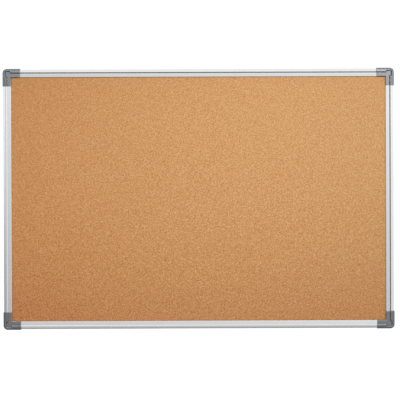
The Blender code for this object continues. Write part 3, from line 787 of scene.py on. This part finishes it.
def cork_surface():
    """Pressed cork: granules of two sizes, dust between them, a soft unevenness and dark bark specks.

    The sheet is painted lightest near the middle and warmer towards the bottom left, for the studio
    light's falloff and colour, and painted shade darkens it where it runs in under the frame. Its grain
    is painted to stand out more towards the bottom, as relief shading where the lamp's light grazes.
    """
    cork = Surface("cork")
    wander = cork.noise(700.0, 2.0, output="Color")
    offset = cork.vector_math("SUBTRACT", {0: wander, 1: (0.5, 0.5, 0.5)})
    scaled = cork.vector_math("SCALE", {0: offset, "Scale": 1.2 * MM})
    bent = cork.vector_math("ADD", {0: cork.where, 1: scaled})
    coarse_edge, coarse = cork.cells(600.0, bent)
    fine_edge, fine = cork.cells(1150.0, bent)
    dust = cork.noise(2600.0, 3.0, 0.6)
    grain = cork.noise(300.0, 1.0, 0.5)
    tone = cork.math("MULTIPLY_ADD", coarse, 0.28, -0.24)
    tone = cork.math("MULTIPLY_ADD", fine, 0.34, tone)
    tone = cork.math("MULTIPLY_ADD", dust, 0.36, tone)
    tone = cork.math("MULTIPLY_ADD", grain, 0.62, tone)
    x, _, z = cork.split(cork.where)
    across = cork.math("DIVIDE", x, CAD_BOX[1].x)
    up = cork.math("DIVIDE", z, CAD_BOX[1].z)
    # painted relief shading: the grain's contrast is raised towards the bottom, where the lamp's light grazes
    painted_grazing_contrast = cork.math("MULTIPLY_ADD", up, -0.19, 1.04)
    tone = cork.math("MULTIPLY_ADD", cork.math("SUBTRACT", tone, CORK_MEAN_TONE), painted_grazing_contrast, CORK_MEAN_TONE)
    colour = cork.ramp(tone, *CORK_TONES)
    specks = cork.spots(cork.cells(520.0, bent), 0.94, 0.25, 0.45)
    colour = cork.mixed(cork.math("MULTIPLY", specks, 0.6), colour, CORK_BARK)
    # painted falloff of the studio light: lighter near the middle, darker and warmer towards the edges
    painted_falloff = cork.math("MULTIPLY_ADD", up, 0.072, 1.0)
    painted_falloff = cork.math("MULTIPLY_ADD", across, 0.011, painted_falloff)
    painted_falloff = cork.math("MULTIPLY_ADD", cork.math("MULTIPLY", up, up), -0.17, painted_falloff)
    painted_falloff = cork.math("MULTIPLY_ADD", cork.math("MULTIPLY", across, across), -0.12, painted_falloff)
    colour = cork.tinted(colour, cork.ramp(painted_falloff, (0.6, (0.75, 0.6, 0.52)), (1.0, (1.0, 1.0, 1.0))))
    # painted light colour: warmer towards the bottom left, cooler towards the top right where the key lamp
    # falls
    diagonal = cork.remap(cork.math("MULTIPLY_ADD", up, 0.65, across), -1.65, 1.65, 0, 1)
    painted_light_tint = cork.ramp(diagonal, (0.0, (1.0, 0.91, 0.835)), (1.0, (0.82, 0.91, 0.966)))
    colour = cork.tinted(colour, painted_light_tint)
    # painted shade where the sheet runs in under the frame's lips and the corners
    colour = cork.shaded(colour, cork.remap(cork.openness(5.0 * MM), 0.4, 0.95, 0.55, 1.0))
    height = cork.math("MULTIPLY_ADD", coarse_edge, -0.6, cork.math("MULTIPLY", fine_edge, -0.4))
    height = cork.math("MULTIPLY_ADD", dust, 0.5, height)
    cork.principled(
        Base_Color=colour,
        Roughness=cork.remap(tone, 0.3, 1.0, 0.75, 0.6),
        Normal=cork.bump(height, 0.25 * MM, 0.5),
        Specular_IOR_Level=0.9,
        Specular_Tint=(1.0, 0.85, 0.5, 1),
    )
    return cork.material


def aluminium_surface():
    """Satin anodised aluminium, its die lines along the extrusion, with painted shade in its creases.
    The side rails are painted darker downwards, for the falloff of the studio light.
    """
    metal = Surface("anodised_aluminium")
    lines = metal.noise(1.0, 3.0, 0.6, metal.stretched((1.2, 2600.0, 2600.0)))
    broad = metal.noise(1.0, 2.0, 0.5, metal.stretched((0.8, 420.0, 420.0)))
    patches = metal.noise(22.0, 4.0, 0.6)
    grain = metal.noise(5200.0, 2.0)
    tone = metal.math("MULTIPLY_ADD", lines, 0.7, metal.math("MULTIPLY", patches, 0.3))
    colour = metal.ramp(tone, (0.25, (0.80, 0.805, 0.815)), (0.75, (0.90, 0.905, 0.915)))
    roughness = metal.math("MULTIPLY_ADD", lines, 0.10, metal.remap(broad, 0.3, 0.7, 0.17, 0.23))
    height = metal.math("MULTIPLY_ADD", lines, 1.0, metal.math("MULTIPLY", grain, 0.35))
    # painted shade in the creases of the profile, such as the foot of the step
    colour = metal.shaded(colour, metal.remap(metal.openness(2.0 * MM), 0.5, 0.95, 0.5, 1.0))
    # painted falloff of the studio light: the side rails darker towards the bottom, a little lighter at the
    # top
    x, _, z = metal.split(metal.node("ShaderNodeNewGeometry").outputs["Position"])
    on_side = metal.math("GREATER_THAN", metal.math("ABSOLUTE", x), SIDE_RAILS_BEYOND)
    painted_side_falloff = metal.remap(z, -CAD_BOX[1].z, 0.2, -0.2, 0.08)
    colour = metal.shaded(colour, metal.math("MULTIPLY_ADD", painted_side_falloff, on_side, 1.0))
    metal.principled(
        Base_Color=colour,
        Metallic=1.0,
        Roughness=roughness,
        Normal=metal.bump(height, 0.006 * MM, 0.5, metal.rounded_edges(0.35 * MM)),
    )
    return metal.material


def plastic_surface():
    """Grey moulded ABS with a metallic pigment, a fine spark-eroded texture, faint flow marks, edges
    lightened partly as wear and partly as a painted highlight, and painted shade in its nooks.
    """
    plastic = Surface("grey_abs")
    grain = plastic.noise(2400.0, 3.0, 0.6)
    flow = plastic.noise(45.0, 3.0, 0.5, distortion=0.6)
    wear_and_highlight = plastic.noise(260.0, 5.0, 0.7)
    tone = plastic.math("MULTIPLY_ADD", flow, 0.5, plastic.math("MULTIPLY", grain, 0.5))
    colour = plastic.ramp(tone, (0.3, (0.124, 0.130, 0.138)), (0.7, (0.157, 0.164, 0.174)))
    openness = plastic.openness(1.2 * MM)
    # edges lightened partly as wear and partly as a painted highlight on the chamfers
    edges = plastic.worn_and_highlit_edges(PLASTIC_EDGE, openness)
    colour = plastic.mixed(
        plastic.math("MULTIPLY", edges, plastic.remap(wear_and_highlight, 0.3, 0.6, 0.5, 1)), colour, (0.42, 0.435, 0.45)
    )
    # painted shade in the nooks, such as the step round the pocket and the gaps beside the cover
    colour = plastic.shaded(colour, plastic.remap(openness, 0.4, 0.75, 0.2, 1.0))
    plastic.principled(
        Base_Color=colour,
        Metallic=0.6,
        Roughness=plastic.remap(wear_and_highlight, 0.3, 0.75, 0.34, 0.46),
        Normal=plastic.bump(grain, 0.05 * MM, 0.45, plastic.rounded_edges(PLASTIC_EDGE)),
    )
    return plastic.material


def steel_surface():
    """Bright zinc plate, with the faint yellow and blue of its passivation."""
    steel = Surface("zinc_plated_steel")
    cloud = steel.noise(600.0, 4.0, 0.6)
    scratches = steel.noise(1.0, 2.0, 0.5, steel.stretched((900.0, 900.0, 6000.0)))
    stops = (0.35, (0.62, 0.66, 0.72)), (0.55, (0.72, 0.72, 0.71)), (0.7, (0.74, 0.71, 0.60))
    steel.principled(
        Base_Color=steel.ramp(cloud, *stops),
        Metallic=1.0,
        Roughness=steel.remap(scratches, 0.3, 0.7, 0.22, 0.4),
        Normal=steel.bump(scratches, 0.02 * MM, 0.4, steel.rounded_edges(0.12 * MM)),
    )
    return steel.material


def softboard_surface():
    """Pressed wood fibre."""
    board = Surface("softboard")
    fibres = board.noise(1.0, 4.0, 0.65, board.stretched((700.0, 700.0, 2600.0)))
    clumps = board.noise(300.0, 4.0, 0.6)
    tone = board.math("MULTIPLY_ADD", fibres, 0.6, board.math("MULTIPLY", clumps, 0.4))
    colour = board.ramp(tone, (0.3, (0.22, 0.14, 0.075)), (0.7, (0.47, 0.34, 0.2)))
    board.principled(Base_Color=colour, Roughness=0.95, Normal=board.bump(fibres, 0.3 * MM, 0.7))
    return board.material


def card_surface():
    """Grey recycled card: short fibres in many shades, a few dark flecks and a faint calender mark."""
    card = Surface("grey_card")
    fibres = card.noise(1.0, 5.0, 0.7, card.stretched((1500.0, 1500.0, 420.0)), 0.8)
    cross = card.noise(1.0, 5.0, 0.7, card.stretched((420.0, 1500.0, 1500.0)), 0.8)
    cloud = card.noise(14.0, 4.0, 0.55)
    tone = card.math("MULTIPLY_ADD", cross, 0.35, card.math("MULTIPLY", cloud, 0.3))
    tone = card.math("MULTIPLY_ADD", fibres, 0.35, tone)
    stops = (0.32, (0.30, 0.295, 0.28)), (0.5, (0.46, 0.455, 0.44)), (0.7, (0.58, 0.575, 0.56))
    colour = card.ramp(tone, *stops)
    flecks = card.spots(card.cells(260.0, card.stretched((1.0, 1.0, 0.35))), 0.95, 0.08, 0.16)
    colour = card.mixed(card.math("MULTIPLY", flecks, 0.55), colour, (0.16, 0.145, 0.125))
    card.principled(
        Base_Color=colour,
        Roughness=card.remap(tone, 0.3, 0.7, 0.9, 0.75),
        Normal=card.bump(card.math("ADD", fibres, cross), 0.06 * MM, 0.5),
    )
    return card.material


# ---------------------------------------------------------------- assembly


def add_piece(node, mesh, material, matrix):
    """Shows mesh in place of a CAD node, on that node's own body."""
    obj = bpy.data.objects.new(f"{node}_look", mesh)
    bpy.context.scene.collection.objects.link(obj)
    obj.matrix_world = matrix
    mesh.materials.clear()
    mesh.materials.append(material)
    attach(obj, frame["nodes"][node]["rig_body"])
    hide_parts(node)


def add_panel():
    still = Matrix.Identity(4)
    add_piece("cork_sheet", cork_mesh(), cork_surface(), still)
    add_piece("softboard_core", panel_mesh("softboard_core"), softboard_surface(), still)
    add_piece("backing_sheet", panel_mesh("backing_sheet"), card_surface(), still)


def add_rails_and_screws():
    aluminium, steel = aluminium_surface(), steel_surface()
    sides = ("top", "right", "bottom", "left")  # each a quarter turn on from the last
    meshes = {}
    for name, rail, along in (("long_rail", "rail_top", 0), ("short_rail", "rail_right", 2)):
        low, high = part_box(rail)
        meshes[name] = rail_mesh(name, high[along] - low[along])
    screw = screw_mesh()
    half_width, half_height = CAD_BOX[1].x, CAD_BOX[1].z
    for quarter, side in enumerate(sides):
        upright = quarter % 2 == 1
        reach, span = (half_width, half_height) if upright else (half_height, half_width)
        turned = Matrix.Rotation(quarter * QUARTER, 4, "Y")
        outwards = Matrix.Translation((0, 0, reach - RAIL_INSET))
        rail = meshes["short_rail" if upright else "long_rail"]
        add_piece(f"rail_{side}", rail, aluminium, turned @ outwards)
        ends = (sides[quarter - 1], sides[(quarter + 1) % 4])
        for direction, end in zip((-1, 1), ends):
            at = Matrix.Translation((direction * (span - SCREW_ALONG), 0, reach - SCREW_ACROSS))
            spin = Matrix.Rotation(SCREW_SPIN * quarter + direction, 4, "Y")
            node = f"screw_{side}_rail_{end}_end"
            add_piece(node, screw, steel, turned @ at @ spin)


def add_corners():
    plastic = plastic_surface()
    body, cover = corner_body_mesh(), cover_mesh()
    signs = {"top_right": (1, 1), "bottom_right": (1, -1), "bottom_left": (-1, -1), "top_left": (-1, 1)}
    for quarter, (corner, (right, up)) in enumerate(signs.items()):
        at = Matrix.Translation((right * CAD_BOX[1].x, 0, up * CAD_BOX[1].z))
        turned = at @ Matrix.Rotation(quarter * QUARTER, 4, "Y")
        on_spigot = turned @ Matrix.Translation((-WALL_HOLE_AT, 0, -WALL_HOLE_AT))
        add_piece(f"corner_body_{corner}", body, plastic, turned)
        add_piece(f"corner_cover_{corner}", cover, plastic, on_spigot)


# ---------------------------------------------------------------- stage


def add_floor():
    """A wide pale floor that only the camera sees, at the backdrop's own level."""
    bpy.ops.mesh.primitive_plane_add(size=FLOOR_SIDE, location=(0, 0, -FLOOR_BELOW))
    floor = bpy.context.object
    floor.name = "floor"
    surface = Surface("pale_floor")
    _, towards_viewer, _ = surface.split(surface.node("ShaderNodeNewGeometry").outputs["Incoming"])
    level = surface.remap(surface.math("MULTIPLY", towards_viewer, -1), *BACKDROP, smooth=True)
    speckle = surface.remap(surface.noise(0.8, 4.0), 0.3, 0.7, 0.99, 1.0)
    surface.principled(
        Base_Color=(0, 0, 0, 1),
        Roughness=1.0,
        Specular_IOR_Level=0,
        Emission_Color=(1, 1, 1, 1),
        Emission_Strength=surface.math("MULTIPLY", level, speckle),
    )
    floor.data.materials.append(surface.material)
    floor.visible_diffuse = False
    floor.visible_glossy = False
    floor.visible_shadow = False


def add_world():
    """The backdrop for the camera, and for everything else a soft studio, brighter up and to the right."""
    world = bpy.data.worlds.new("studio")
    bpy.context.scene.world = world
    world.use_nodes = True
    world.node_tree.nodes.clear()
    sky = Nodes(world.node_tree)
    direction = sky.node("ShaderNodeTexCoord").outputs["Generated"]
    along = sky.vector_math("DOT_PRODUCT", {0: direction, 1: WORLD_LEAN}, "Value")
    _, backwards, upwards = sky.split(direction)

    drop = sky.math("MAXIMUM", sky.math("SUBTRACT", WORLD_TOP - WORLD_FRONT, along), 0.0)
    drop = sky.math("MULTIPLY", drop, sky.remap(backwards, -0.6, -0.25, 1.0, 2.0, smooth=True))
    least = sky.remap(backwards, -0.95, -0.2, 0.60, 0.10, smooth=True)
    ahead = sky.math("MAXIMUM", sky.math("SUBTRACT", WORLD_TOP, drop), least)
    far_behind = sky.remap(backwards, 0.45, 0.85, 0.0, 1.0, smooth=True)
    dimmed = sky.math("MULTIPLY", far_behind, sky.remap(upwards, -0.5, 0.6, -0.55, -0.1, smooth=True))
    change = sky.math("SUBTRACT", sky.math("ADD", dimmed, WORLD_BEHIND), ahead)
    level = sky.math("MULTIPLY_ADD", change, sky.remap(backwards, -0.08, 0.12, 0.0, 1.0, smooth=True), ahead)

    ray = sky.node("ShaderNodeLightPath").outputs
    share = sky.math("MULTIPLY_ADD", ray["Is Diffuse Ray"], WORLD_DIFFUSE - 1, 1.0)
    level = sky.math("MULTIPLY", level, share)
    seen = sky.remap(backwards, *BACKDROP, smooth=True)
    white = (1, 1, 1, 1)
    studio = sky.node("ShaderNodeBackground", {"Color": white, "Strength": level})
    backdrop = sky.node("ShaderNodeBackground", {"Color": white, "Strength": seen})
    shaders = {"Fac": ray["Is Camera Ray"], 1: studio.outputs[0], 2: backdrop.outputs[0]}
    mix = sky.node("ShaderNodeMixShader", shaders)
    sky.node("ShaderNodeOutputWorld", {"Surface": mix.outputs[0]})


def add_lamp(name, place, target, size, power, lit):
    """An area lamp that falls only on the pieces whose node names start with one of lit."""
    data = bpy.data.lights.new(name, "AREA")
    data.size = size
    data.energy = power
    lamp = bpy.data.objects.new(name, data)
    bpy.context.scene.collection.objects.link(lamp)
    lamp.location = place
    lamp.rotation_euler = (Vector(target) - Vector(place)).to_track_quat("-Z", "Y").to_euler()
    lamp.visible_camera = False
    receivers = bpy.data.collections.new(f"lit_by_{name}")
    for obj in bpy.context.scene.objects:
        if obj.name.startswith(lit):
            receivers.objects.link(obj)
    lamp.light_linking.receiver_collection = receivers


def add_camera():
    data = bpy.data.cameras.new("camera")
    data.sensor_width = CAMERA_SENSOR
    data.lens = CAMERA_LENS
    camera = bpy.data.objects.new("camera", data)
    bpy.context.scene.collection.objects.link(camera)
    camera.location = CAMERA_PLACE
    forward = Matrix.Rotation(-CAMERA_YAW, 4, "Z") @ Matrix.Rotation(QUARTER + CAMERA_PITCH, 4, "X")
    camera.rotation_euler = (forward @ Matrix.Rotation(CAMERA_ROLL, 4, "Z")).to_euler()
    bpy.context.scene.camera = camera


add_panel()
add_rails_and_screws()
add_corners()
add_floor()
add_world()
for lamp in LAMPS:
    add_lamp(*lamp)
add_camera()
bpy.context.scene.view_settings.view_transform = "Standard"
